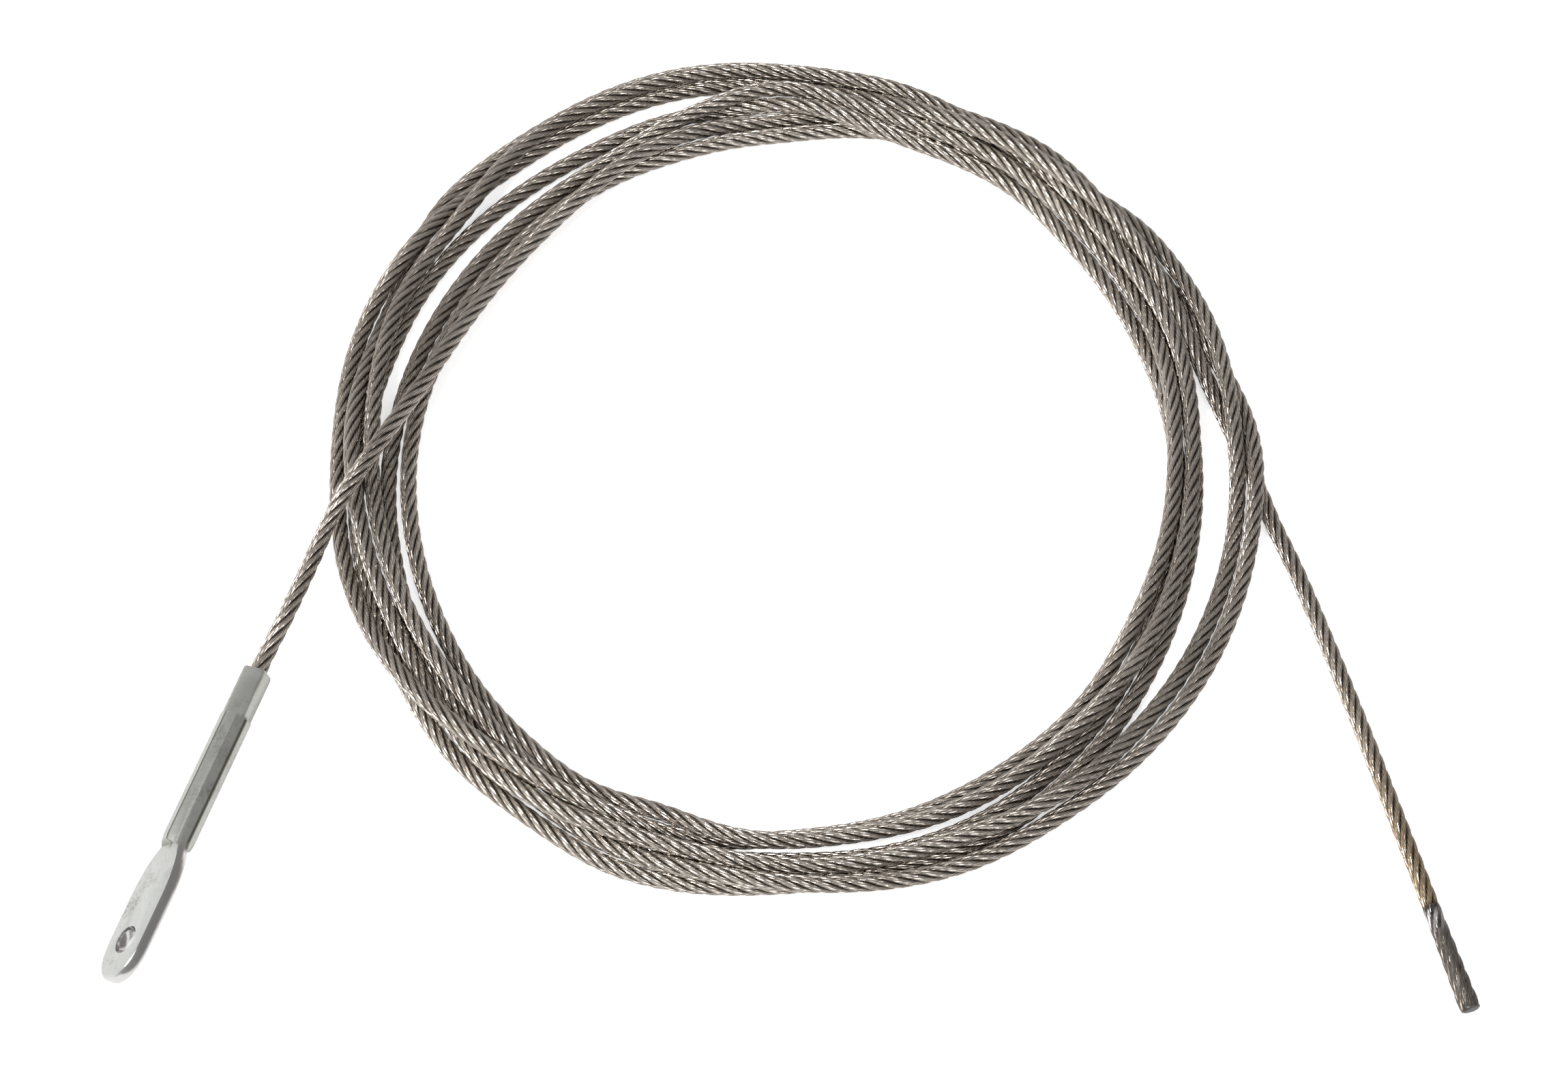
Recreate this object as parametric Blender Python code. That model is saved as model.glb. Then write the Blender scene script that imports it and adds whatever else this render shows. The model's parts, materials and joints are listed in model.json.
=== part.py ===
"""Coiled wire rope with a swaged eye terminal on one end and a soldered end on the other.

Units are metres, +Z is up, and the rope lies on the floor plane z = 0.
"""
import math

import bmesh
import bpy
import numpy as np
from mathutils import Matrix, Vector

MM = 0.001

# Rope
ROPE_DIAMETER = 4.76 * MM
LAY_LENGTH = 29.5 * MM
OUTER_STRANDS = 6
STRAND_GAP = 0.3 * MM
MESH_GAP = 0.3 * MM

# Coil: the middle of its turns, and how the turns lie on each other
COIL_CENTRE = (1.3 * MM, 14.7 * MM)
LAYER_HEIGHT = 4.4 * MM
TURN_GAP = 0.9 * MM
FLOOR_FLAT = 0.1
COIL_STEP = 3.0
POINT_STRIDE = 2
LEAST_GAP = 0.4 * MM

# Each turn's weave in and out, counter-clockwise from the tail: angle in degrees,
# radius in millimetres and layer above the floor
COIL_TURNS = (
    ((-8, 134.5, 0), (-4, 130.5, 0), (0, 127, 0), (5, 123.5, 0), (10, 121, 0.1), (15, 119.5, 0.3),
     (20, 118.5, 0.6), (30, 118, 1), (45, 118, 2), (60, 118.5, 2.2), (75, 119, 2), (82, 121.5, 1.2),
     (90, 125, 0.2), (97, 127, 0), (105, 128.5, 0), (120, 128, 0), (135, 128.5, 0.7), (150, 129, 0.9),
     (180, 128.5, 0.6), (210, 126.5, 1.4), (240, 125.5, 1.8), (255, 121, 1), (270, 115, 0),
     (285, 111.5, 0), (300, 109.5, 0), (330, 107, 0.6)),
    ((0, 107, 1), (30, 111.5, 1.2), (45, 113.5, 1.8), (60, 115.5, 2.1), (75, 116.5, 1.6),
     (90, 119.5, 1.1), (103, 116.5, 1.4), (120, 111.5, 0.8), (150, 111, 0.8), (180, 114, 0),
     (210, 118, 0), (240, 122.5, 0), (270, 127.5, 1), (285, 128.5, 0.6), (300, 128, 0.2), (330, 129, 0.2)),
    ((0, 127.5, 1), (30, 121.5, 0), (45, 118, 0), (60, 115, 0), (75, 112.5, 0), (90, 110, 0),
     (105, 109, 0), (120, 108.5, 0), (150, 108, 0), (180, 108.5, 0), (210, 110.5, 0), (240, 116, 0.9),
     (255, 117.5, 1.1), (270, 117.5, 1.3), (285, 116, 1.1), (300, 114.5, 1), (330, 112.5, 1.2)),
    ((0, 111.5, 1.2), (30, 115.5, 0.8), (45, 115.5, 1.1), (60, 118.5, 1.2), (75, 121.5, 1),
     (90, 127.5, 1), (105, 131, 1), (120, 130.5, 1.1), (135, 127.5, 1.6), (150, 124.5, 1.6),
     (165, 121.5, 1.6), (180, 119, 1), (210, 117, 1), (240, 117.5, 0.2), (270, 121, 0),
     (300, 118.5, 0), (330, 112.5, 0)),
    ((0, 108, 0), (30, 107.5, 0), (45, 109.5, 0.4), (60, 112, 1), (75, 113, 1.1), (90, 115, 1),
     (103, 118, 0.4), (120, 118.5, 0), (150, 120.5, 0), (180, 123.5, 0), (210, 125.5, 0),
     (240, 128.5, 0.3), (270, 128, 0), (300, 123.5, 0), (315, 119.5, 0.6), (330, 116.5, 1)),
    ((0, 113, 0), (30, 117, 0), (45, 120.5, 1), (60, 123.5, 0.4), (75, 125, 0), (90, 130, 0),
     (97, 132, 0), (105, 133.5, 0), (120, 133, 0), (135, 131, 0), (150, 128, 0.2), (180, 123.5, 1),
     (210, 122, 1.1), (240, 120, 0.6), (270, 123, 1), (300, 124, 1.1), (330, 124.5, 0.5)),
    ((0, 125.5, 2), (15, 125, 1.3), (30, 124, 0.8), (45, 122.8, 0), (60, 119.8, 0), (75, 117.5, 0),
     (90, 115.5, 0), (105, 112.5, 0.8), (120, 107, 1.6), (132, 104.5, 1.2), (145, 103, 1),
     (158, 104, 1.4), (168.5, 107, 2.2), (177, 112.5, 2.7), (183, 119, 2.9), (187.5, 126, 2.6),
     (190, 130, 2.2)),
)

# Free stretches: the tail runs from the coil to the soldered end along the floor,
# and the lead drops from the coil's top to the shank. Route points are X, Y in millimetres.
TAIL_ROUTE = ((139.3, -16.9), (146.7, -39.6), (154.6, -65.7), (162, -91.5), (168, -112.6))
TAIL_END = (170, -119.8)
LEAD_ROUTE = ((-133, -23.9, 10), (-137.9, -36.2, 8.8))
TUBE_SPACING = 9.0 * MM
SOLDER_LENGTH = 29 * MM
SOLDER_SWELL = 0.12 * MM

# Eye terminal: its own X runs from the shank's mouth to the blade's tip
MOUTH = (-144.8 * MM, -52.2 * MM)
TERMINAL_HEADING = -110.05
BLADE_TILT = 45.0
SHANK_ROLL = 11.25
TERMINAL_LENGTH = 93.9 * MM
SQUARE_FLATS = 6.7 * MM
SQUARE_ROUND = 4.25 * MM
SQUARE_LENGTH = 13.8 * MM
OCTAGON_FLATS = 8.05 * MM
SHANK_LENGTH = 52.8 * MM
STEP_LENGTH = 1.0 * MM
NECK_RADIUS = 3.85 * MM
NECK_LENGTH = 2.6 * MM
NECK_WIDTH = 9.8 * MM
BLADE_WIDTH = 15.6 * MM
BLADE_THICKNESS = 3.3 * MM
BLADE_CROWN = 0.5 * MM
FLARE_LENGTH = 13.7 * MM
ROUND_END = 12.2 * MM
END_FULLNESS = 2.3
TONGUE_START = 0.6 * MM
TONGUE_RADIUS = 9 * MM
HOLE_DIAMETER = 7.94 * MM
HOLE_FROM_TIP = 11.6 * MM
BORE_CLEARANCE = 0.3 * MM
BORE_DEPTH = 47 * MM
SECTION_POINTS = 32
BLADE_RINGS = 12

STRAND_PITCH = ROPE_DIAMETER / 3
STRAND_DIAMETER = STRAND_PITCH - STRAND_GAP
BORE_RADIUS = STRAND_PITCH + STRAND_DIAMETER / 2 + BORE_CLEARANCE
REST_HEIGHT = (0.5 - FLOOR_FLAT) * ROPE_DIAMETER
TURN_PITCH = ROPE_DIAMETER + TURN_GAP
TILT = math.radians(BLADE_TILT)
ROLL = math.radians(SHANK_ROLL)
AXIS_HEIGHT = BLADE_WIDTH / 2 * math.cos(TILT) + 0.5 * BLADE_THICKNESS * math.sin(TILT)


def clear_scene():
    for item in list(bpy.data.objects):
        bpy.data.objects.remove(item, do_unlink=True)


def collection(name):
    group = bpy.data.collections.new(name)
    bpy.context.scene.collection.children.link(group)
    return group


def material(name, colour, roughness):
    made = bpy.data.materials.new(name)
    made.use_nodes = True
    shader = made.node_tree.nodes["Principled BSDF"]
    shader.inputs["Base Color"].default_value = (*colour, 1)
    shader.inputs["Roughness"].default_value = roughness
    shader.inputs["Metallic"].default_value = 1
    return made


def add_mesh(name, bm, group):
    bmesh.ops.recalc_face_normals(bm, faces=bm.faces)
    mesh = bpy.data.meshes.new(name)
    bm.to_mesh(mesh)
    bm.free()
    made = bpy.data.objects.new(name, mesh)
    group.objects.link(made)
    return made


def add_cutter(name, bm, group):
    cutter = add_mesh(name, bm, group)
    cutter.hide_render = True
    cutter.display_type = "WIRE"
    return cutter


def cut(body, cutter):
    change = body.modifiers.new("cut " + cutter.name, "BOOLEAN")
    change.operation = "DIFFERENCE"
    change.object = cutter


def smooth_curve(stations, values, at):
    """Cubic through the given values, with slopes taken from their neighbours."""
    slope = np.gradient(values, stations)
    cell = np.clip(np.searchsorted(stations, at) - 1, 0, len(stations) - 2)
    width = stations[cell + 1] - stations[cell]
    t = (at - stations[cell]) / width
    return (values[cell] * (1 + 2 * t) * (1 - t) ** 2 + slope[cell] * width * t * (1 - t) ** 2
            + values[cell + 1] * t * t * (3 - 2 * t) - slope[cell + 1] * width * t * t * (1 - t))


def coil_plan():
    """The turns as they weave, a point every COIL_STEP degrees."""
    knots = [(360 * turn + angle, radius * MM, REST_HEIGHT + layer * LAYER_HEIGHT)
             for turn, row in enumerate(COIL_TURNS) for angle, radius, layer in row]
    angles, radii, heights = np.array(knots).T
    at = np.linspace(angles[0], angles[-1], round((angles[-1] - angles[0]) / COIL_STEP) + 1)
    radius = smooth_curve(angles, radii, at)
    height = np.maximum(smooth_curve(angles, heights, at), REST_HEIGHT)
    turn = np.radians(at)
    return np.stack([COIL_CENTRE[0] + radius * np.cos(turn),
                     COIL_CENTRE[1] + radius * np.sin(turn), height], axis=1)


def close_pairs(points, reach, apart):
    """Every pair of points nearer than reach that lies more than apart steps along the rope."""
    gap = np.linalg.norm(points[:, None] - points[None], axis=2)
    first, second = np.nonzero(gap < reach)
    keep = np.abs(first - second) > apart
    return first[keep], second[keep]


def ease_apart(plan, rounds=1500, held=4, apart=20, shape_share=0.6, final_share=0.8):
    """Settle the turns on each other until no two come nearer than TURN_PITCH."""
    points = plan.copy()
    for count in range(rounds):
        if count % 20 == 0:
            one, other = close_pairs(points, TURN_PITCH + 3 * MM, apart)
        along = np.gradient(points, axis=0)
        step = np.linalg.norm(along, axis=1)
        along /= step[:, None]
        away = points[one] - points[other]
        lengthwise = (away * along[other]).sum(axis=1)
        away -= lengthwise[:, None] * along[other]
        distance = np.maximum(np.linalg.norm(away, axis=1), 0.001 * MM)
        short = np.clip(TURN_PITCH - distance, 0, None) * (np.abs(lengthwise) <= 0.55 * step[other])
        push = away / distance[:, None] * (0.225 * short)[:, None]
        np.add.at(points, one, push)
        np.add.at(points, other, -push)
        shaping = count < shape_share * rounds
        bend = np.zeros_like(points)
        bend[2:-2] = (4 * (points[1:-3] + points[3:-1]) - points[:-4] - points[4:]) / 16 - points[2:-2] * 0.375
        if shaping:
            points[:, :2] += 0.02 * (plan - points)[:, :2]
            points[:, 2] -= 0.02 * MM
            sag = np.zeros(len(points))
            sag[1:-1] = (points[:-2, 2] + points[2:, 2]) / 2 - points[1:-1, 2]
            points[:, 2] += 0.3 * sag
        points += (0.8 if shaping else 0.1 if count < final_share * rounds else 0.01) * bend
        points[:, 2] = np.maximum(points[:, 2], REST_HEIGHT)
        points[:held] = plan[:held]
        points[-held:] = plan[-held:]
    return points


def straight_ends(points):
    """Give the tube a straight run of one diameter at both ends."""
    first = points[0] - points[1]
    last = points[-1] - points[-2]
    start = points[0] + first / np.linalg.norm(first) * ROPE_DIAMETER
    end = points[-1] + last / np.linalg.norm(last) * ROPE_DIAMETER
    return np.concatenate([[start], points, [end]])


def least_gap(points, samples=6):
    """Narrowest gap between two stretches of the tube, measured from points to its segments."""
    start, run = points[:-1], np.diff(points, axis=0)
    apart = np.abs(np.arange(len(run))[:, None] - np.arange(len(run))[None]) > 3
    least = math.inf
    for k in range(samples):
        away = (start + run * k / samples)[:, None] - start[None]
        share = np.clip((away * run[None]).sum(axis=2) / (run * run).sum(axis=1), 0, 1)
        distance = np.linalg.norm(away - share[:, :, None] * run[None], axis=2)
        least = min(least, distance[apart].min())
    return least - ROPE_DIAMETER


def tube(name, points, diameter, resolution, group, finish):
    """A rope stretch as a mesh tube with closed ends."""
    curve = bpy.data.curves.new(name, "CURVE")
    curve.dimensions = "3D"
    curve.bevel_depth = diameter / 2
    curve.bevel_resolution = resolution
    curve.use_fill_caps = True
    spline = curve.splines.new("POLY")
    spline.points.add(len(points) - 1)
    for point, place in zip(spline.points, points):
        point.co = (*place, 1)
    made = bpy.data.objects.new(name, curve)
    group.objects.link(made)
    curve.materials.append(finish)
    return made


def as_mesh(made, group):
    """Turn a curve into a welded mesh, so that it can be cut."""
    view = bpy.context.evaluated_depsgraph_get()
    mesh = bpy.data.meshes.new_from_object(made.evaluated_get(view))
    bm = bmesh.new()
    bm.from_mesh(mesh)
    bmesh.ops.remove_doubles(bm, verts=bm.verts, dist=0.001 * MM)
    bmesh.ops.recalc_face_normals(bm, faces=bm.faces)
    bm.to_mesh(mesh)
    bm.free()
    name, place = made.name, made.matrix_world.copy()
    bpy.data.objects.remove(made, do_unlink=True)
    solid = bpy.data.objects.new(name, mesh)
    solid.matrix_world = place
    group.objects.link(solid)
    return solid


def floor_cutter(group):
    bm = bmesh.new()
    size = 0.6
    bmesh.ops.create_cube(bm, size=size)
    bmesh.ops.translate(bm, verts=bm.verts, vec=(0, 0, -size / 2))
    return add_cutter("floor_cutter", bm, group)


def terminal_frame():
    """Terminal axes in the world: X to the tip, Z out of the blade's visible face."""
    heading = math.radians(TERMINAL_HEADING)
    along = Vector((math.cos(heading), math.sin(heading), 0))
    left = Vector((math.sin(heading), -math.cos(heading), 0))
    face = left * math.cos(TILT) + Vector((0, 0, 1)) * math.sin(TILT)
    across = face.cross(along)
    turn = Matrix((along, across, face)).transposed().to_4x4()
    return Matrix.Translation((*MOUTH, AXIS_HEIGHT)) @ turn


def polygon_radius(angle, flats, sides):
    """Distance from a polygon's middle to its outline, with a flat across angle 0."""
    part = 2 * math.pi / sides
    return flats / 2 / math.cos((angle + part / 2) % part - part / 2)


def square_ring(scale=1.0):
    radii = [min(polygon_radius(angle - ROLL - math.pi / 4, SQUARE_FLATS, 4), SQUARE_ROUND)
             for angle in section_angles()]
    return [(radius * scale * math.cos(a), radius * scale * math.sin(a))
            for radius, a in zip(radii, section_angles())]


def octagon_ring(flats):
    radii = [polygon_radius(angle - ROLL, flats, 8) for angle in section_angles()]
    return [(radius * math.cos(a), radius * math.sin(a)) for radius, a in zip(radii, section_angles())]


def section_angles():
    return [2 * math.pi * k / SECTION_POINTS for k in range(SECTION_POINTS)]


def rounded_ring(half_width, half_thickness, power):
    """A section between an ellipse, power 2, and a rounded bar, power 4 and up."""
    ring = []
    for a in section_angles():
        c, s = math.cos(a), math.sin(a)
        ring.append((math.copysign(abs(c) ** (2 / power), c) * half_width,
                     math.copysign(abs(s) ** (2 / power), s) * half_thickness))
    return ring


def blade_ring(x):
    """Forged blade section before its two faces are cut flat."""
    start = SHANK_LENGTH + NECK_LENGTH
    flare = min((x - start) / FLARE_LENGTH, 1)
    ease = 1 - (1 - flare) ** 2
    end = max((x - (TERMINAL_LENGTH - ROUND_END)) / ROUND_END, 0)
    taper = max(1 - end ** END_FULLNESS, 0) ** (1 / END_FULLNESS)
    half_width = (NECK_WIDTH + (BLADE_WIDTH - NECK_WIDTH) * ease) / 2 * taper
    crown = BLADE_THICKNESS / 2 + BLADE_CROWN
    half_thickness = (NECK_RADIUS + (crown - NECK_RADIUS) * ease) * (0.45 + 0.55 * taper)
    return rounded_ring(half_width, half_thickness, 2 + 6 * ease)


def terminal_sections():
    """Sections from the shank's mouth to the blade's tip."""
    chamfer = 0.5 * MM
    rows = [(0, square_ring(0.93)), (chamfer, square_ring()), (SQUARE_LENGTH, square_ring()),
            (SQUARE_LENGTH + STEP_LENGTH, octagon_ring(OCTAGON_FLATS)),
            (SHANK_LENGTH - STEP_LENGTH, octagon_ring(OCTAGON_FLATS)),
            (SHANK_LENGTH + STEP_LENGTH, rounded_ring(0.45 * NECK_WIDTH, NECK_RADIUS, 2))]
    start = SHANK_LENGTH + NECK_LENGTH
    straight_end = TERMINAL_LENGTH - ROUND_END
    for k in range(BLADE_RINGS):
        x = start + (straight_end - start) * k / BLADE_RINGS
        rows.append((x, blade_ring(x)))
    for k in range(BLADE_RINGS):
        x = straight_end + ROUND_END * math.sin(math.pi / 2 * k / (BLADE_RINGS - 0.7))
        rows.append((x, blade_ring(x)))
    return rows


def loft(rows):
    """Closed skin through sections that stand square to X."""
    bm = bmesh.new()
    rings = [[bm.verts.new((x, y, z)) for y, z in ring] for x, ring in rows]
    for near, far in zip(rings, rings[1:]):
        for k in range(SECTION_POINTS):
            n = (k + 1) % SECTION_POINTS
            bm.faces.new((near[k], near[n], far[n], far[k]))
    bm.faces.new(rings[0])
    bm.faces.new(rings[-1])
    return bm


def tongue_cutter(name, side, group):
    """Rounded-end cutter that takes one face of the blade down flat."""
    bm = bmesh.new()
    middle = SHANK_LENGTH + TONGUE_START + TONGUE_RADIUS
    outline = [(middle + TONGUE_RADIUS * math.cos(a), TONGUE_RADIUS * math.sin(a))
               for a in (math.pi * (0.5 + k / 24) for k in range(25))]
    outline += [(TERMINAL_LENGTH * 1.2, -TONGUE_RADIUS), (TERMINAL_LENGTH * 1.2, TONGUE_RADIUS)]
    face = bm.faces.new([bm.verts.new((x, y, side * BLADE_THICKNESS / 2)) for x, y in outline])
    grown = bmesh.ops.extrude_face_region(bm, geom=[face])["geom"]
    moved = [item for item in grown if isinstance(item, bmesh.types.BMVert)]
    bmesh.ops.translate(bm, verts=moved, vec=(0, 0, side * OCTAGON_FLATS))
    return add_cutter(name, bm, group)


def round_cutter(name, radius, length, place, group):
    """Round cutter whose axis and middle come from place."""
    bm = bmesh.new()
    bmesh.ops.create_cone(bm, cap_ends=True, segments=24, radius1=radius, radius2=radius, depth=length)
    bmesh.ops.transform(bm, matrix=place, verts=bm.verts)
    return add_cutter(name, bm, group)


def eye_terminal(place, group, cutters, finish):
    body = add_mesh("eye_terminal", loft(terminal_sections()), group)
    body.data.materials.append(finish)
    bore_place = Matrix.Rotation(math.pi / 2, 4, "Y")
    hole_place = Matrix.Translation((TERMINAL_LENGTH - HOLE_FROM_TIP, 0, 0))
    tools = [tongue_cutter("face_cutter", 1, cutters), tongue_cutter("back_cutter", -1, cutters),
             round_cutter("pin_hole_cutter", HOLE_DIAMETER / 2, 4 * BLADE_THICKNESS, hole_place, cutters),
             round_cutter("bore_cutter", BORE_RADIUS, 2 * BORE_DEPTH, bore_place, cutters)]
    for tool in tools:
        tool.matrix_world = place
        cut(body, tool)
    body.matrix_world = place
    return body


def strand_ends(place, group, finish):
    """The rope's seven strands where they are held in the shank's bore."""
    length = BORE_DEPTH - MESH_GAP
    points_per_lay = 10
    count = math.ceil(length / LAY_LENGTH * points_per_lay) + 1
    for number in range(OUTER_STRANDS + 1):
        name = "outer_strand_end_%d" % number if number else "core_strand_end"
        radius = STRAND_PITCH if number else 0
        start = 2 * math.pi * number / OUTER_STRANDS
        points = []
        for k in range(count):
            x = length * k / (count - 1)
            turn = start + 2 * math.pi * x / LAY_LENGTH
            points.append((x, radius * math.cos(turn), radius * math.sin(turn)))
        strand = tube(name, points, STRAND_DIAMETER, 2, group, finish)
        strand.matrix_world = place


def soldered_end(place, group, finish):
    """Rope end run full of solder: a slightly swollen rod with a rounded tip."""
    radius = ROPE_DIAMETER / 2
    swollen = radius + SOLDER_SWELL
    profile = [(0, SOLDER_LENGTH)]
    profile += [(swollen * math.sin(a), SOLDER_LENGTH - swollen * 0.7 * (1 - math.cos(a)))
                for a in (math.pi / 2 * k / 5 for k in range(1, 6))]
    profile += [(swollen, SOLDER_LENGTH * 0.35), (radius, 0), (0, 0)]
    bm = bmesh.new()
    verts = [bm.verts.new((r, 0, h)) for r, h in profile]
    for a, b in zip(verts, verts[1:]):
        bm.edges.new((a, b))
    bmesh.ops.spin(bm, geom=bm.verts[:] + bm.edges[:], axis=(0, 0, 1), cent=(0, 0, 0),
                   angle=2 * math.pi, steps=16, use_merge=True)
    bmesh.ops.remove_doubles(bm, verts=bm.verts, dist=0.001 * MM)
    tip = add_mesh("soldered_end", bm, group)
    tip.data.materials.append(finish)
    tip.matrix_world = place
    return tip


def stretch(route):
    """Even points on a smooth line through a stretch's route points."""
    knots = np.array(route)
    reach = np.concatenate([[0], np.cumsum(np.linalg.norm(np.diff(knots, axis=0), axis=1))])
    count = round(reach[-1] / TUBE_SPACING) + 1
    at = np.linspace(0, reach[-1], count)
    return np.stack([smooth_curve(reach, knots[:, axis], at) for axis in range(3)], axis=1)


def move_along(start, towards, distance):
    step = np.array(towards) - np.array(start)
    return np.array(start) + step / np.linalg.norm(step) * distance


def aim(start, towards):
    """Placement whose Z runs from start towards another point."""
    heading = Vector(towards) - Vector(start)
    return Matrix.Translation(start) @ heading.to_track_quat("Z", "Y").to_matrix().to_4x4()


def build():
    clear_scene()
    parts = collection("coiled_wire_rope_with_swaged_eye")
    cutters = collection("cutters")
    steel = material("rope steel", (0.42, 0.39, 0.35), 0.35)
    forged = material("swaged steel", (0.62, 0.62, 0.60), 0.4)
    solder = material("soldered steel", (0.45, 0.44, 0.42), 0.45)
    floor = floor_cutter(cutters)

    fine = ease_apart(coil_plan())
    loops = (len(fine) - 1) * COIL_STEP / 360
    wound = straight_ends(fine[::round(POINT_STRIDE)])
    gap = least_gap(wound)
    print("rope coil: %.2f loops, least gap to itself %.2f mm" % (loops, gap / MM))
    print("the turns are clear of each other:", gap > LEAST_GAP)
    coil = as_mesh(tube("rope_coil", wound, ROPE_DIAMETER, 1, parts, steel), parts)
    cut(coil, floor)

    tail_from = move_along(wound[0], 2 * wound[0] - wound[1], MESH_GAP)
    tail_to = np.array([TAIL_END[0] * MM, TAIL_END[1] * MM, REST_HEIGHT])
    tail_knots = [(x * MM, y * MM, REST_HEIGHT) for x, y in TAIL_ROUTE]
    tail_line = stretch([tail_from] + tail_knots + [tail_to])
    tail = as_mesh(tube("rope_tail", tail_line, ROPE_DIAMETER, 2, parts, steel), parts)
    cut(tail, floor)
    tip_from = move_along(tail_to, 2 * tail_to - tail_line[-2], MESH_GAP)
    tip = soldered_end(aim(tip_from, 2 * tail_to - tail_line[-2]), parts, solder)
    cut(tip, floor)

    place = terminal_frame()
    eye_terminal(place, parts, cutters, forged)
    strand_ends(place, parts, steel)
    mouth = place @ Vector((-MESH_GAP, 0, 0))
    before = place @ Vector((-ROPE_DIAMETER, 0, 0))
    lead_from = move_along(wound[-1], 2 * wound[-1] - wound[-2], MESH_GAP)
    lead_after = move_along(wound[-1], 2 * wound[-1] - wound[-2], ROPE_DIAMETER)
    lead_knots = [tuple(value * MM for value in knot) for knot in LEAD_ROUTE]
    lead_line = stretch([lead_from, lead_after] + lead_knots + [before, mouth])
    tube("rope_lead", lead_line, ROPE_DIAMETER, 2, parts, steel)

    length = sum(np.linalg.norm(np.diff(line, axis=0), axis=1).sum()
                 for line in (wound, tail_line, lead_line))
    print("rope in sight: %.3f m" % (length + SOLDER_LENGTH))


build()
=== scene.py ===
import json
import math

import bpy
import numpy as np
from mathutils import Matrix, Vector

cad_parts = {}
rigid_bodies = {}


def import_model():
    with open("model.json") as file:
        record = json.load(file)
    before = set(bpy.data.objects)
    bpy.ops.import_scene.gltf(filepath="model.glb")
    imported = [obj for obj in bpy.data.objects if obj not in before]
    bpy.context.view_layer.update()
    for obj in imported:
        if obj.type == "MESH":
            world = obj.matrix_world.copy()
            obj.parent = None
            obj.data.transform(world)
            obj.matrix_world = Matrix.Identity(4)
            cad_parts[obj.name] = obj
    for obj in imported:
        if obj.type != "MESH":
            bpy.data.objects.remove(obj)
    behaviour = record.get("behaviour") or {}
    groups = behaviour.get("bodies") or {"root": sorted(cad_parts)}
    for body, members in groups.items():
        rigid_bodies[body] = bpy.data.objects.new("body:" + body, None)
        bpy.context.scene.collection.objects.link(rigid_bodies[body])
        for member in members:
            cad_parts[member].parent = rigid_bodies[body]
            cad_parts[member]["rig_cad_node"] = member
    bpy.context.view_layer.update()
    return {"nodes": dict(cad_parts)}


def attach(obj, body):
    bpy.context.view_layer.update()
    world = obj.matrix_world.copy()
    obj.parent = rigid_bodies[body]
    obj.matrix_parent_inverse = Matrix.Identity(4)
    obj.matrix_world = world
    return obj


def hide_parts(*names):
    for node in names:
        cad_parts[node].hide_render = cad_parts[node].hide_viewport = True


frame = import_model()
bpy.ops.object.select_all(action="DESELECT")
mm = 0.001
print("frame loaded:", len(frame["nodes"]), "nodes")


# Shader sockets that take plain arithmetic
class Val:
    def __init__(self, mat, socket):
        self.mat = mat
        self.socket = socket

    def math(self, operation, other=None, swap=False, clamp=False):
        ends = [self, other] if not swap else [other, self]
        sockets = {k: v for k, v in enumerate(ends) if v is not None}
        return self.mat.add("ShaderNodeMath", {"operation": operation, "use_clamp": clamp}, sockets)

    def __add__(self, other):
        return self.math("ADD", other)

    def __sub__(self, other):
        return self.math("SUBTRACT", other)

    def __rsub__(self, other):
        return self.math("SUBTRACT", other, swap=True)

    def __mul__(self, other):
        return self.math("MULTIPLY", other)

    def __truediv__(self, other):
        return self.math("DIVIDE", other)

    def __pow__(self, other):
        return self.math("POWER", other)

    __radd__ = __add__
    __rmul__ = __mul__

    def sine(self):
        return self.math("SINE")

    def clip(self):
        return self.math("ADD", 0.0, clamp=True)

    def between(self, low, high):
        return ((self - low) / (high - low)).clip()


# One node tree: the material's or the room's
class Nodes:
    def __init__(self, owner, shader):
        self.made = owner
        self.made.use_nodes = True
        self.tree = self.made.node_tree
        self.shader = self.tree.nodes[shader]

    def plug(self, socket, value):
        if isinstance(value, Val):
            self.tree.links.new(value.socket, socket)
        elif isinstance(value, tuple) and len(value) == 3 and socket.type == "RGBA":
            socket.default_value = (*value, 1)
        else:
            socket.default_value = value

    def set(self, name, value):
        self.plug(self.shader.inputs[name], value)

    def add(self, kind, settings=None, sockets=None, out=0):
        node = self.tree.nodes.new(kind)
        for key, value in (settings or {}).items():
            setattr(node, key, value)
        for key, value in (sockets or {}).items():
            self.plug(node.inputs[key], value)
        return Val(self, node.outputs[out])

    def split(self, vector):
        first = self.add("ShaderNodeSeparateXYZ", None, {0: vector})
        return [Val(self, output) for output in first.socket.node.outputs]


class Finish(Nodes):
    def __init__(self, name, metallic, roughness, colour):
        super().__init__(bpy.data.materials.new(name), "Principled BSDF")
        self.set("Metallic", metallic)
        self.set("Roughness", roughness)
        self.set("Base Color", colour)

    def objectPlace(self, turn=(0, 0, 0), scale=(1, 1, 1)):
        place = self.add("ShaderNodeTexCoord", out="Object")
        return self.add("ShaderNodeMapping", None, {"Vector": place, "Rotation": turn, "Scale": scale})

    def noise(self, place, scale, detail):
        return self.add("ShaderNodeTexNoise", None, {"Vector": place, "Scale": scale, "Detail": detail})

    def mix(self, share, low, high):
        # the colour inputs of a mix node are its seventh and eighth, and its colour output the third
        return self.add("ShaderNodeMix", {"data_type": "RGBA"}, {0: share, 6: low, 7: high}, out=2)

    def bump(self, height, depth):
        self.set("Normal", self.add("ShaderNodeBump", None, {"Height": height, "Distance": depth}))


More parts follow.
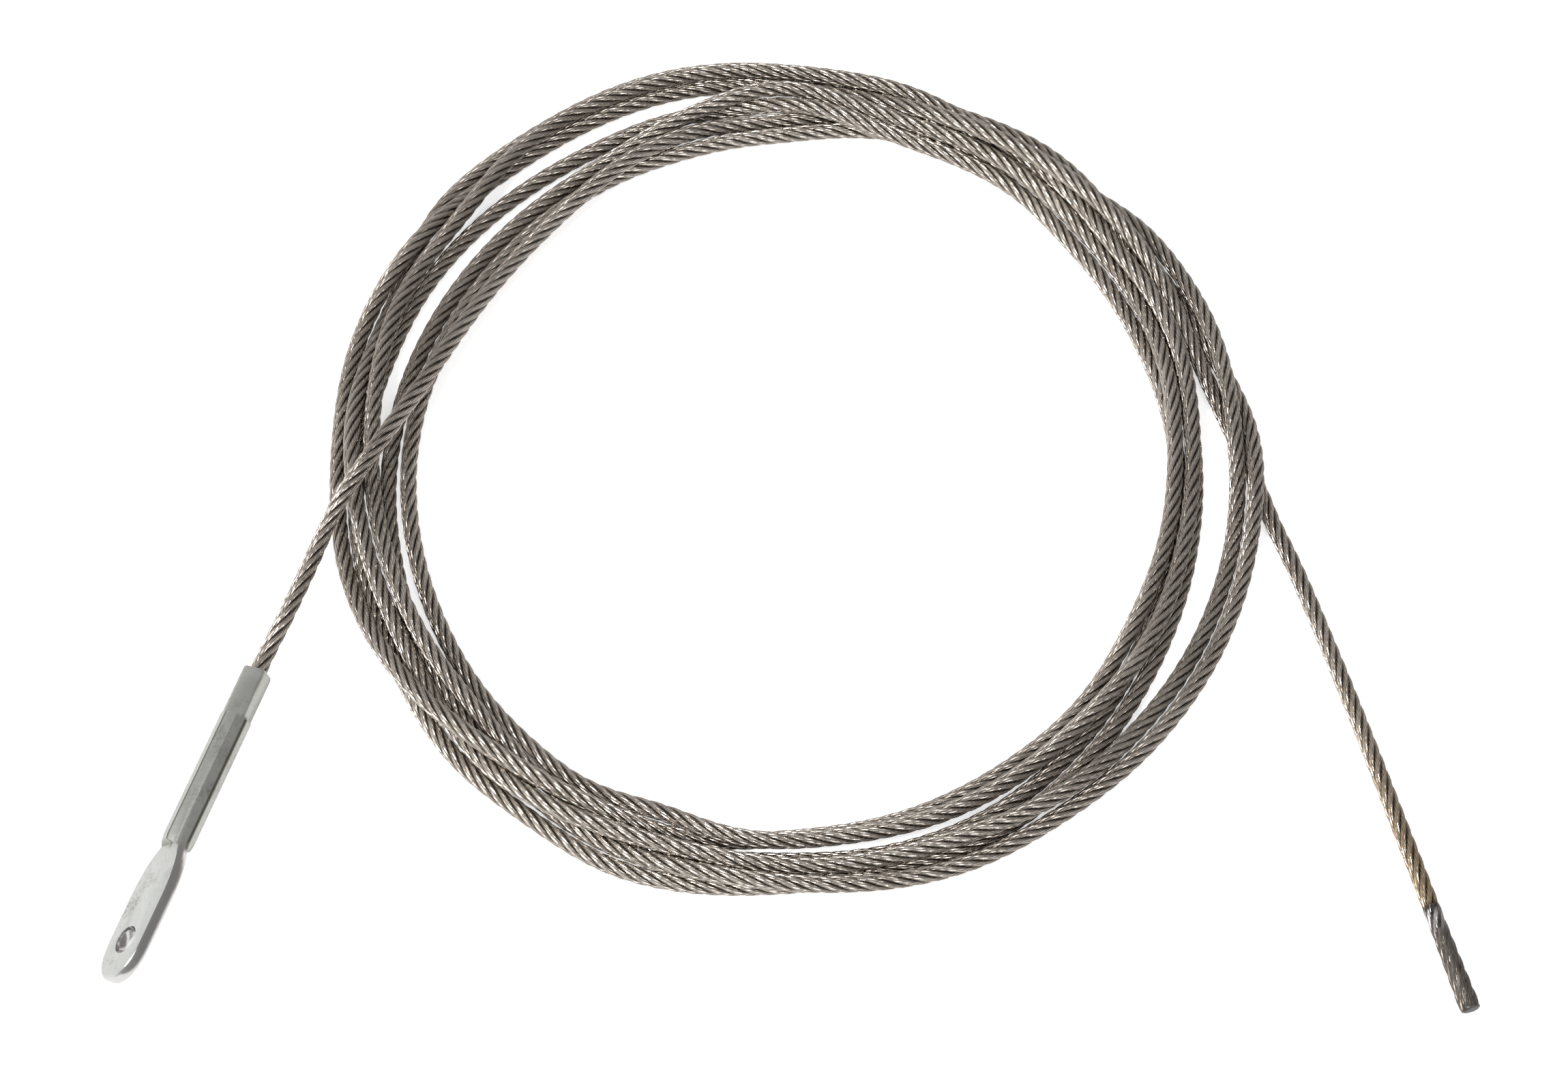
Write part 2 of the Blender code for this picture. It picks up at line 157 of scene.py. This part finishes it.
# The rope's route, in millimetres: the model's tail and lead, and its turns, which on the near side
# lie closer to the photograph than the model's do
rope = {
    "diameter": 4.76 * mm,
    "lay": 29.5 * mm,
    "coilCentre": (1.3, 14.7),
    "layerHeight": 4.4,
    "turnPitch": 4.76 + 0.14,
    "restHeight": 0.4 * 4.76,
    "liftToFloor": 0.1 * 4.76,
    "stepDegrees": 3.0,
    "ringsPerLay": 22,
    "turns": (  # angle, radius and layer for each turn, counter-clockwise from the tail
        ((-8, 134.5, 0), (-4, 130.5, 0), (0, 127, 0), (5, 123.5, 0), (10, 121, 0.1), (15, 119.5, 0.3),
         (20, 118.5, 0.6), (30, 118, 1), (45, 118, 2), (60, 118.5, 2.2), (75, 119, 2), (82, 121.5, 1.2),
         (90, 125, 0.2), (97, 127, 0), (105, 128.5, 0), (120, 128, 0), (135, 128.5, 0.7), (150, 129, 0.9),
         (180, 128.5, 0.6), (210, 126.5, 1.4), (220, 124.8, 1.9), (228, 123, 2), (236, 121, 1.7),
         (244, 119.5, 1), (251, 117.6, 0.3), (258, 116, 0), (264, 114.8, 0), (270, 113.6, 0), (285, 113, 0),
         (300, 109.8, 0), (315, 108.5, 0.5), (330, 108.2, 1)),
        ((0, 107.5, 1), (30, 111.5, 1.2), (45, 113.5, 1.8), (60, 115.5, 2.1), (75, 116.5, 1.6),
         (90, 119.5, 1.1), (103, 116.5, 1.4), (120, 111.5, 0.8), (150, 111, 0.8), (180, 114, 0),
         (210, 118, 0), (225, 121, 0), (240, 124.2, 0), (255, 126, 0.5), (270, 127.3, 1),
         (285, 127.6, 1.1), (300, 127.8, 0.6), (330, 129, 0.2)),
        ((0, 127.5, 1), (30, 121.5, 0), (45, 118, 0), (60, 115, 0), (75, 112.5, 0), (90, 110, 0),
         (105, 109, 0), (120, 108.5, 0), (150, 108, 0), (180, 108.5, 0), (210, 110.5, 0), (225, 112.6, 0),
         (240, 115, 0.4), (248, 117, 0.8), (256, 117.6, 1.1), (262, 116.6, 1.1), (270, 114.8, 1.1),
         (285, 114, 1.1), (300, 113.6, 1), (330, 112.3, 1)),
        ((0, 111.2, 1.2), (30, 115.5, 0.8), (45, 115.5, 1.1), (60, 118.5, 1.2), (75, 121.5, 1),
         (90, 127.5, 1), (105, 131, 1), (120, 130.5, 1.1), (135, 127.5, 1.6), (150, 124.5, 1.6),
         (165, 121.5, 1.6), (180, 119, 1), (210, 117, 1), (225, 118, 0.6), (240, 119.5, 0.1),
         (255, 121, 0), (270, 120, 0), (285, 121, 0), (300, 119.2, 0), (315, 114, 0),
         (330, 109.8, 0), (345, 108.2, 0)),
        ((0, 107.8, 0), (30, 107.5, 0), (45, 109.5, 0.4), (60, 112, 1), (75, 113, 1.1), (90, 115, 1),
         (103, 118, 0.4), (120, 118.5, 0), (150, 120.5, 0), (180, 123.5, 0), (210, 125.5, 0),
         (240, 128.5, 0.3), (270, 127, 0), (285, 126, 0), (300, 124, 0), (315, 119.5, 0),
         (330, 114.9, 0), (345, 112.4, 0)),
        ((0, 112.2, 0), (30, 117, 0), (45, 120.5, 1), (60, 123.5, 0.4), (75, 125, 0), (90, 130, 0),
         (97, 132, 0), (105, 133.5, 0), (120, 133, 0), (135, 131, 0), (150, 128, 0.2), (180, 123.5, 1),
         (210, 122, 1.1), (225, 122.5, 1), (240, 123.5, 1), (255, 123.5, 1), (270, 123, 1),
         (285, 123, 1), (300, 123.6, 1.1), (330, 124.5, 0.5)),
        ((0, 125.5, 2), (15, 125, 1.3), (30, 124, 0.8), (45, 122.8, 0), (60, 119.8, 0), (75, 117.5, 0),
         (90, 115.5, 0), (105, 112.5, 0.8), (120, 107, 1.6), (132, 104.5, 1.2), (145, 103, 1),
         (158, 104, 1.4), (168.5, 107, 2.2), (177, 112.5, 2.7), (183, 119, 2.9), (187.5, 126, 2.6),
         (190, 130, 2.2)),
    ),
    "tail": ((139.3, -16.9), (146.7, -39.6), (154.6, -65.7), (162, -91.5), (168, -112.6), (170, -119.8)),
    "solderLength": 29,
    "tipFlare": 1.2,  # the strands spread towards the soldered tip
    "lead": ((-133, -23.9, 10), (-137.9, -36.2, 8.8)),
    "mouth": (-144.8, -52.2, 6.68),
    "heading": -110.05,
    "insideShank": 24,
}


def smoothCurve(stations, values, at):
    slope = np.gradient(values, stations)
    cell = np.clip(np.searchsorted(stations, at) - 1, 0, len(stations) - 2)
    width = stations[cell + 1] - stations[cell]
    t = (at - stations[cell]) / width
    return (values[cell] * (1 + 2 * t) * (1 - t) ** 2 + slope[cell] * width * t * (1 - t) ** 2
            + values[cell + 1] * t * t * (3 - 2 * t) - slope[cell + 1] * width * t * t * (1 - t))


def coilPlan():
    knots = [(360 * turn + angle, radius, rope["restHeight"] + layer * rope["layerHeight"])
             for turn, row in enumerate(rope["turns"]) for angle, radius, layer in row]
    angles, radii, heights = np.array(knots).T
    count = round((angles[-1] - angles[0]) / rope["stepDegrees"]) + 1
    at = np.linspace(angles[0], angles[-1], count)
    radius = smoothCurve(angles, radii, at)
    height = np.maximum(smoothCurve(angles, heights, at), rope["restHeight"])
    x, y = rope["coilCentre"]
    turn = np.radians(at)
    return np.stack([x + radius * np.cos(turn), y + radius * np.sin(turn), height], axis=1)


# How the turns settle on each other: pulled to the plan and down, pushed apart, then only eased
settle = {
    "rounds": 1500,
    "shapingShare": 0.6,
    "easingShare": 0.8,
    "heldEnds": 4,
    "neighbours": 20,  # points along the rope that don't push on each other
    "pairRounds": 20,
    "pairReach": 3,
    "push": 0.225,
    "sideways": 0.55,  # share of a step within which two points lie beside each other
    "pull": 0.02,
    "drop": 0.02,
    "sag": 0.3,
    "bending": (0.8, 0.1, 0.01),
}


def easeApart(plan):
    pitch = rope["turnPitch"]
    held = settle["heldEnds"]
    points = plan.copy()
    for count in range(settle["rounds"]):
        if count % settle["pairRounds"] == 0:
            gap = np.linalg.norm(points[:, None] - points[None], axis=2)
            one, other = np.nonzero(gap < pitch + settle["pairReach"])
            keep = np.abs(one - other) > settle["neighbours"]
            one, other = one[keep], other[keep]
        along = np.gradient(points, axis=0)
        step = np.linalg.norm(along, axis=1)
        along /= step[:, None]
        away = points[one] - points[other]
        lengthwise = (away * along[other]).sum(axis=1)
        away -= lengthwise[:, None] * along[other]
        distance = np.maximum(np.linalg.norm(away, axis=1), 0.001)
        beside = np.abs(lengthwise) <= settle["sideways"] * step[other]
        short = np.clip(pitch - distance, 0, None) * beside
        push = away / distance[:, None] * (settle["push"] * short)[:, None]
        np.add.at(points, one, push)
        np.add.at(points, other, -push)
        shaping = count < settle["shapingShare"] * settle["rounds"]
        easing = count < settle["easingShare"] * settle["rounds"]
        bend = np.zeros_like(points)
        bend[2:-2] = (4 * (points[1:-3] + points[3:-1]) - points[:-4] - points[4:]) / 16
        bend[2:-2] -= 0.375 * points[2:-2]
        if shaping:
            points[:, :2] += settle["pull"] * (plan - points)[:, :2]
            points[:, 2] -= settle["drop"]
            sag = np.zeros(len(points))
            sag[1:-1] = (points[:-2, 2] + points[2:, 2]) / 2 - points[1:-1, 2]
            points[:, 2] += settle["sag"] * sag
        first, second, third = settle["bending"]
        points += (first if shaping else second if easing else third) * bend
        points[:, 2] = np.maximum(points[:, 2], rope["restHeight"])
        points[:held] = plan[:held]
        points[-held:] = plan[-held:]
    return points


def ropeLine():
    # one line from inside the shank, along the lead, round the coil and down the tail to the tip
    heading = math.radians(rope["heading"])
    out = np.array([-math.cos(heading), -math.sin(heading), 0])
    mouth = np.array(rope["mouth"])
    inside = [mouth - out * rope["insideShank"] * k / 4 for k in range(4, 0, -1)]
    lead = [mouth, mouth + 5 * out] + [np.array(p) for p in reversed(rope["lead"])]
    coil = easeApart(coilPlan())[::-1]
    tail = [np.array([x, y, rope["restHeight"]]) for x, y in rope["tail"]]
    run = tail[-1] - tail[-2]
    tip = tail[-1] + run / np.linalg.norm(run) * (rope["solderLength"] - 1.5)
    knots = np.array(inside + lead + list(coil) + tail + [tip])
    knots[len(inside) + 4:, 2] += rope["liftToFloor"]
    reach = np.concatenate([[0], np.cumsum(np.linalg.norm(np.diff(knots, axis=0), axis=1))])
    step = rope["lay"] / mm / rope["ringsPerLay"]
    at = np.linspace(0, reach[-1], round(reach[-1] / step) + 1)
    line = np.stack([smoothCurve(reach, knots[:, axis], at) for axis in range(3)], axis=1) * mm
    flare = np.clip(1 - (at[-1] - at) / rope["solderLength"], 0, 1) ** 1.5 * (rope["tipFlare"] - 1)
    line[:, 2] += flare * rope["diameter"] / 2
    return line, 1 + flare


line, ropeFlare = ropeLine()
alongRope = np.concatenate([[0], np.cumsum(np.linalg.norm(np.diff(line, axis=0), axis=1))])
print("rope line: %.3f m in %d points" % (alongRope[-1], len(line)))


def carriedFrames(points):
    # side directions carried along the line without twist
    along = np.gradient(points, axis=0)
    along /= np.linalg.norm(along, axis=1)[:, None]
    side = np.cross(along[0], (0, 0, 1))
    sides = []
    for direction in along:
        side = side - direction * np.dot(side, direction)
        side = side / np.linalg.norm(side)
        sides.append(side)
    sides = np.array(sides)
    return along, sides, np.cross(along, sides)


strand = {"wires": 12, "wireLay": 14.7 * mm, "wireGroove": 0.09 * mm, "coreWires": 3}


def strandMesh(name, turnStart, radius, thickness, wires):
    # a strand wound round the rope's line, its wires wound back the other way
    along, sideways, upwards = carriedFrames(line)
    turn = turnStart + 2 * math.pi * alongRope / rope["lay"]
    outward = sideways * np.cos(turn)[:, None] + upwards * np.sin(turn)[:, None]
    centre = line + outward * radius * ropeFlare[:, None]
    run = np.gradient(centre, axis=0)
    run /= np.linalg.norm(run, axis=1)[:, None]
    flat = np.cross(run, outward)
    flat /= np.linalg.norm(flat, axis=1)[:, None]
    face = np.cross(flat, run)
    sides = 2 * wires  # a crest and a groove for each wire
    count = len(line)
    column = np.arange(sides)
    angle = 2 * math.pi * (column[None] / sides - alongRope[:, None] / strand["wireLay"])
    reach = thickness / 2 - strand["wireGroove"] * (column % 2)
    reach = reach[None] * ropeFlare[:, None]
    places = centre[:, None] + reach[:, :, None] * (face[:, None] * np.cos(angle)[:, :, None]
                                                    + flat[:, None] * np.sin(angle)[:, :, None])
    ring, side = np.meshgrid(np.arange(count - 1), column, indexing="ij")
    ring, side = ring.ravel(), side.ravel()
    corners = ((ring, side), (ring, side + 1), (ring + 1, side + 1), (ring + 1, side))
    quads = np.stack([r * sides + c % sides for r, c in corners], axis=1)
    wrap = [np.stack([c / sides - alongRope[r] / strand["wireLay"], alongRope[r]], axis=1)
            for r, c in corners]
    ends = [tuple(range(sides))[::-1], tuple(range((count - 1) * sides, count * sides))]
    mesh = bpy.data.meshes.new(name)
    mesh.from_pydata(places.reshape(-1, 3).tolist(), [], quads.tolist() + ends)
    layer = mesh.uv_layers.new(name="strandWrap")
    flatWrap = np.concatenate([np.stack(wrap, axis=1).ravel(), np.tile([0, alongRope[-1]], 2 * sides)])
    layer.data.foreach_set("uv", flatWrap)
    made = bpy.data.objects.new(name, mesh)
    bpy.context.collection.objects.link(made)
    return made


# Rope steel: bright wire crests, painted shade darkening the grooves and the strands' inner faces, heat
# tint before the solder
ropeFinish = {
    "bright": (0.86, 0.79, 0.71),
    "worn": (0.68, 0.61, 0.54),
    # painted shade: the dark colour of the grooves between wires and of the strands' inner faces
    "grooveShade": (0.08, 0.062, 0.048),
    "tint": (0.42, 0.30, 0.165),
    "burnt": (0.03, 0.024, 0.02),
    "silver": (0.78, 0.77, 0.78),
    "solder": (0.14, 0.127, 0.12),
    "tintLength": 110 * mm,
    "tintShare": 0.85,
    "silverLength": 8 * mm,
    "ringBefore": 1.5 * mm,  # the burnt ring, from before the solder to where it fades and ends
    "ringFades": 0.5 * mm,
    "ringEnds": 2.5 * mm,
    "grimeScale": 55.0,
    "glintScale": 900.0,
}


def ropeSteel():
    steel = Finish("ropeSteel", 1.0, 0.3, ropeFinish["worn"])
    wrap = steel.add("ShaderNodeUVMap", {"uv_map": "strandWrap"})
    around, reach = steel.split(wrap)[:2]
    column = (around + reach / strand["wireLay"]) * (2 * math.pi * strand["wires"])
    crest = (column / 2 + math.pi / 2).sine().math("ABSOLUTE")
    crown = (around * (2 * math.pi) + math.pi / 2).sine() * 0.5 + 0.5
    place = steel.objectPlace()
    grime = steel.noise(place, ropeFinish["grimeScale"], 4)
    glint = steel.noise(place, ropeFinish["glintScale"], 2)
    outside = crown.between(0.5, 0.92)
    # painted shade: the strands' inner faces and the grooves between wires take the dark groove colour, and
    # the glint noise paints glints on the crests
    share = (outside * (0.15 + 0.85 * crest.between(0.2, 0.9)) * (0.6 + 0.8 * glint)).clip()
    worn = steel.mix(grime.between(0.3, 0.65), ropeFinish["worn"], ropeFinish["bright"])
    base = steel.mix(share, ropeFinish["grooveShade"], worn)
    end = float(alongRope[-1]) - rope["solderLength"] * mm
    tint = reach.between(end - ropeFinish["tintLength"], end) ** 1.5
    soldered = reach.between(end, end + 1 * mm)
    ringEnd = end + ropeFinish["ringEnds"]
    ring = reach.between(end - ropeFinish["ringBefore"], end)
    ring = ring * (1 - reach.between(end + ropeFinish["ringFades"], ringEnd))
    tinted = steel.mix(tint * ropeFinish["tintShare"] * outside, base, ropeFinish["tint"])
    wetted = 1 - reach.between(ringEnd, end + ropeFinish["silverLength"])
    silvered = wetted * (0.65 + 0.35 * grime.between(0.35, 0.6))
    metal = steel.mix(silvered, ropeFinish["solder"], ropeFinish["silver"])
    filled = steel.mix(soldered * 0.85, tinted, metal)
    steel.set("Base Color", steel.mix(ring * 0.85, filled, ropeFinish["burnt"]))
    steel.set("Roughness", (0.24 - 0.08 * share + 0.08 * grime + 0.1 * soldered).clip())
    return steel.made


def makeRope():
    steel = ropeSteel()
    strandPitch = rope["diameter"] / 3
    made = []
    for number in range(1, 7):
        piece = strandMesh("rope_strand_%d" % number, math.pi * number / 3, strandPitch,
                           strandPitch, strand["wires"])
        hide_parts("outer_strand_end_%d" % number)
        made.append(piece)
    core = strandMesh("rope_core_strand", 0, 0, strandPitch, strand["coreWires"])
    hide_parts("core_strand_end")
    made.append(core)
    for piece in made:
        piece.data.materials.append(steel)
        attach(piece, "root")
    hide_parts("rope_lead", "rope_coil", "rope_tail")
    return made


strands = makeRope()
print("rope strands:", len(strands))


# Soldered end: solder fills the grooves between the strands and closes the tip
tipSolder = {
    "radius": 2.08 * mm,
    "flare": 1.16,
    "cap": 0.6 * mm,
    "capSteps": ((0.5, 0.96), (0.35, 0.9), (0.15, 0.8)),  # share of the cap's height, and narrowing
    "lump": 0.2 * mm,
    "lumpSize": 1.6 * mm,
    "relief": 0.25 * mm,
    "colour": (0.22, 0.21, 0.20),
    "dark": (0.07, 0.065, 0.06),
}


def solderFinish():
    grey = Finish("solder", 1.0, 0.45, tipSolder["colour"])
    place = grey.objectPlace()
    blotch = grey.noise(place, 260.0, 5)
    grey.set("Base Color", grey.mix(blotch.between(0.35, 0.65), tipSolder["dark"], tipSolder["colour"]))
    grey.set("Roughness", 0.3 + 0.35 * blotch)
    grey.bump(blotch, tipSolder["relief"])
    return grey.made


def makeSolder():
    start = Vector(line[-1 - round(rope["solderLength"] * mm / (alongRope[1] - alongRope[0]))])
    end = Vector(line[-1])
    run = end - start
    turn = run.to_track_quat("Z", "Y").to_matrix().to_4x4()
    bpy.ops.mesh.primitive_cylinder_add(vertices=24, radius=tipSolder["radius"], depth=run.length)
    piece = bpy.context.object
    piece.name = "solder_fill"
    bpy.ops.object.mode_set(mode="EDIT")
    bpy.ops.mesh.select_mode(type="FACE")
    bpy.ops.mesh.select_all(action="DESELECT")
    bpy.ops.object.mode_set(mode="OBJECT")
    for face in piece.data.polygons:
        face.select = face.normal.z > 0.9
    bpy.ops.object.mode_set(mode="EDIT")
    bpy.ops.transform.resize(value=(tipSolder["flare"], tipSolder["flare"], 1))
    for share, size in tipSolder["capSteps"]:  # rounded, cut tip
        bpy.ops.mesh.extrude_region_move(TRANSFORM_OT_translate={"value": (0, 0, tipSolder["cap"] * share)})
        bpy.ops.transform.resize(value=(size, size, 1))
    bpy.ops.object.mode_set(mode="OBJECT")
    finer = piece.modifiers.new("finer", "SUBSURF")
    finer.subdivision_type = "SIMPLE"
    finer.levels = finer.render_levels = 2
    bpy.ops.object.modifier_apply(modifier=finer.name)
    lumps = bpy.data.textures.new("solderLumps", "CLOUDS")
    lumps.noise_scale = tipSolder["lumpSize"]
    rough = piece.modifiers.new("lumps", "DISPLACE")
    rough.texture = lumps
    rough.strength = tipSolder["lump"]
    rough.mid_level = 0.5
    bpy.ops.object.modifier_apply(modifier=rough.name)
    piece.data.transform(Matrix.Translation((start + end) / 2) @ turn)
    bpy.ops.object.shade_smooth()
    piece.data.materials.append(solderFinish())
    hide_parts("soldered_end")
    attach(piece, "root")
    bpy.ops.object.select_all(action="DESELECT")
    return piece


solder = makeSolder()


# Eye terminal: the model's forging with softened edges and a satin, slightly stained finish
terminal = {
    "edge": 0.28 * mm,
    "heading": -110.05,
    "tilt": 45.0,
    "shankRoll": 11.25,
    "shankEnd": 54 * mm,
    "face": (0.62, 0.63, 0.61),
    "shank": (0.50, 0.50, 0.465),
    "polished": (0.66, 0.65, 0.64),
    "stain": (0.30, 0.285, 0.255),
    # painted reflection: the dark colour laid along two corners of the shank
    "darkCornerReflection": (0.10, 0.09, 0.06),
    "narrowLine": (0.1 * mm, 0.4 * mm),  # half widths where a painted dark corner reflection starts to fade and is gone
    "wideLine": (0.35 * mm, 0.7 * mm),
    "squareEnd": 14 * mm,
    "relief": 0.06 * mm,
}


def terminalAxes():
    heading = math.radians(terminal["heading"])
    tilt = math.radians(terminal["tilt"])
    along = Vector((math.cos(heading), math.sin(heading), 0))
    face = Vector((math.sin(heading) * math.cos(tilt), -math.cos(heading) * math.cos(tilt), math.sin(tilt)))
    return along, face, along.cross(face)


def satinSteel():
    satin = Finish("swagedSteel", 1.0, 0.35, terminal["face"])
    along, face, across = terminalAxes()
    place = satin.add("ShaderNodeTexCoord", out="Object")
    outward = satin.add("ShaderNodeTexCoord", out="Normal")
    dot = {"operation": "DOT_PRODUCT"}
    fromMouth = satin.add("ShaderNodeVectorMath", {"operation": "SUBTRACT"},
                          {0: place, 1: tuple(c * mm for c in rope["mouth"])})
    reach = satin.add("ShaderNodeVectorMath", dot, {0: fromMouth, 1: tuple(along)}, out="Value")
    facing = satin.add("ShaderNodeVectorMath", dot, {0: outward, 1: tuple(face)}, out="Value")
    onBlade = reach.between(terminal["shankEnd"], terminal["shankEnd"] + 1.5 * mm)
    onFace = facing.math("ABSOLUTE").between(0.9, 0.99)
    edge = onBlade * (1 - onFace)
    # every other corner of the octagon carries a painted dark line, a painted reflection of dark
    # surroundings on the bevelled edge
    corner = math.radians(terminal["shankRoll"] - 22.5)
    oneSide = face * math.sin(corner) - across * math.cos(corner)
    otherSide = face * math.cos(corner) + across * math.sin(corner)
    fromOne = satin.add("ShaderNodeVectorMath", dot, {0: fromMouth, 1: tuple(oneSide)}, out="Value")
    fromOther = satin.add("ShaderNodeVectorMath", dot, {0: fromMouth, 1: tuple(otherSide)}, out="Value")
    narrow = 1 - fromOne.math("ABSOLUTE").between(*terminal["narrowLine"])
    wide = 1 - fromOther.math("ABSOLUTE").between(*terminal["wideLine"])
    onShank = reach.between(terminal["squareEnd"], terminal["squareEnd"] + 1 * mm) * (1 - onBlade)
    # painted reflection: dark lines along two corners of the shank, where the bevelled edges reflect dark
    # surroundings
    darkCornerReflection = onShank * narrow.math("MAXIMUM", wide)
    turn = (0, 0, math.radians(-terminal["heading"]))
    streak = satin.noise(satin.objectPlace(turn, (60, 1400, 1400)), 1.0, 3)
    cloud = satin.noise(place, 160.0, 5)
    patch = satin.noise(place, 95.0, 6)
    speck = satin.noise(place, 1300.0, 3)
    dull = satin.mix(cloud.between(0.3, 0.7) * 0.5, terminal["shank"], terminal["face"])
    pale = satin.mix(cloud.between(0.35, 0.75) * 0.25, terminal["face"], terminal["shank"])
    base = satin.mix(edge, satin.mix(onBlade, dull, pale), terminal["polished"])
    marks = speck.between(0.56, 0.7) * 0.5 + patch.between(0.56, 0.66) * speck.between(0.35, 0.6)
    stained = satin.mix((marks * 0.55 * (1 - edge)).clip(), base, terminal["stain"])
    satin.set("Base Color", satin.mix(darkCornerReflection * 0.8, stained, terminal["darkCornerReflection"]))
    satin.set("Roughness", (0.33 + 0.1 * cloud + 0.08 * streak - 0.24 * edge).clip())
    satin.bump((streak * 0.5 + speck * 0.5) * (1 - 0.8 * edge), terminal["relief"])
    return satin.made


def makeTerminal():
    node = frame["nodes"]["eye_terminal"]
    piece = node.copy()
    piece.data = node.data.copy()
    piece.name = "eye_terminal_forging"
    del piece["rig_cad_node"]
    bpy.context.collection.objects.link(piece)
    piece.parent = None
    bpy.context.view_layer.objects.active = piece
    piece.select_set(True)
    bpy.ops.object.mode_set(mode="EDIT")
    bpy.ops.mesh.select_all(action="SELECT")
    bpy.ops.mesh.remove_doubles(threshold=0.002 * mm)
    bpy.ops.mesh.dissolve_limited(angle_limit=math.radians(1))
    bpy.ops.object.mode_set(mode="OBJECT")
    soften = piece.modifiers.new("softEdges", "BEVEL")
    soften.width = terminal["edge"]
    soften.segments = 2
    soften.limit_method = "ANGLE"
    soften.angle_limit = math.radians(28)
    bpy.ops.object.modifier_apply(modifier=soften.name)
    bpy.ops.object.shade_smooth_by_angle(angle=math.radians(32))
    piece.data.materials.clear()
    piece.data.materials.append(satinSteel())
    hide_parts("eye_terminal")
    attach(piece, "root")
    bpy.ops.object.select_all(action="DESELECT")
    return piece


makeTerminal()
print("eye terminal done")


# Stage: pale floor, soft studio light and the photograph's camera
stage = {
    "floor": 0.9,
    "floorSize": 12,
    "floorGlow": 0.6,
    "target": (-1.7 * mm, -10.3 * mm, 0),
    "distance": 0.952,
    "elevation": 64,
    "lens": 78.3,
    "sensor": 36,
    "roomLeft": 0.55,
    "roomRight": 0.25,
    "horizonLeft": 0.45,
    "keyLight": {"place": (-0.8, -0.5, 1.5), "size": 0.6, "power": 22},
    "frontLight": {"place": (0.4, -0.9, 1.5), "size": 0.9, "power": 8},
}


def makeFloor():
    bpy.ops.mesh.primitive_plane_add(size=stage["floorSize"])
    floor = bpy.context.object
    floor.name = "floor"
    white = Finish("paleFloor", 0.0, 0.9, (stage["floor"],) * 3)
    seen = white.add("ShaderNodeLightPath", out="Is Camera Ray")
    # the glow is for the camera alone: shadows look faint and still darken the metal's rims
    white.set("Emission Color", white.mix(seen, (0.0, 0.0, 0.0), (1.0, 1.0, 1.0)))
    white.set("Emission Strength", stage["floorGlow"])
    floor.data.materials.append(white.made)


def areaLight(name):
    bpy.ops.object.light_add(type="AREA", location=stage[name]["place"])
    lamp = bpy.context.object
    lamp.name = name
    lamp.data.shape = "DISK"
    lamp.data.size = stage[name]["size"]
    lamp.data.energy = stage[name]["power"]
    lamp.rotation_euler = (-Vector(stage[name]["place"])).to_track_quat("-Z", "Y").to_euler()


def makeStage():
    makeFloor()
    world = bpy.data.worlds.new("studio")
    bpy.context.scene.world = world
    room = Nodes(world, "Background")
    x, _, z = room.split(room.add("ShaderNodeTexCoord", out="Generated"))
    # the room is brighter on the left than on the right, most of all low on the left
    level = stage["roomRight"] + (stage["roomLeft"] - stage["roomRight"]) * (1 - x.between(-1, 0.9))
    low = (1 - z.math("ABSOLUTE").between(0.1, 0.6)) * (1 - x.between(-0.7, 0.1))
    room.set("Strength", level + stage["horizonLeft"] * low)
    room.set("Color", (1.0, 1.0, 1.0))
    areaLight("keyLight")
    areaLight("frontLight")
    e = math.radians(stage["elevation"])
    back = Vector((0, -math.cos(e), math.sin(e)))
    bpy.ops.object.camera_add(location=Vector(stage["target"]) + back * stage["distance"])
    camera = bpy.context.object
    camera.rotation_euler = (-back).to_track_quat("-Z", "Y").to_euler()
    camera.data.lens = stage["lens"]
    camera.data.sensor_width = stage["sensor"]
    camera.data.clip_start = 0.01
    bpy.context.scene.camera = camera
    bpy.context.scene.view_settings.view_transform = "Standard"


makeStage()
print("stage ready")
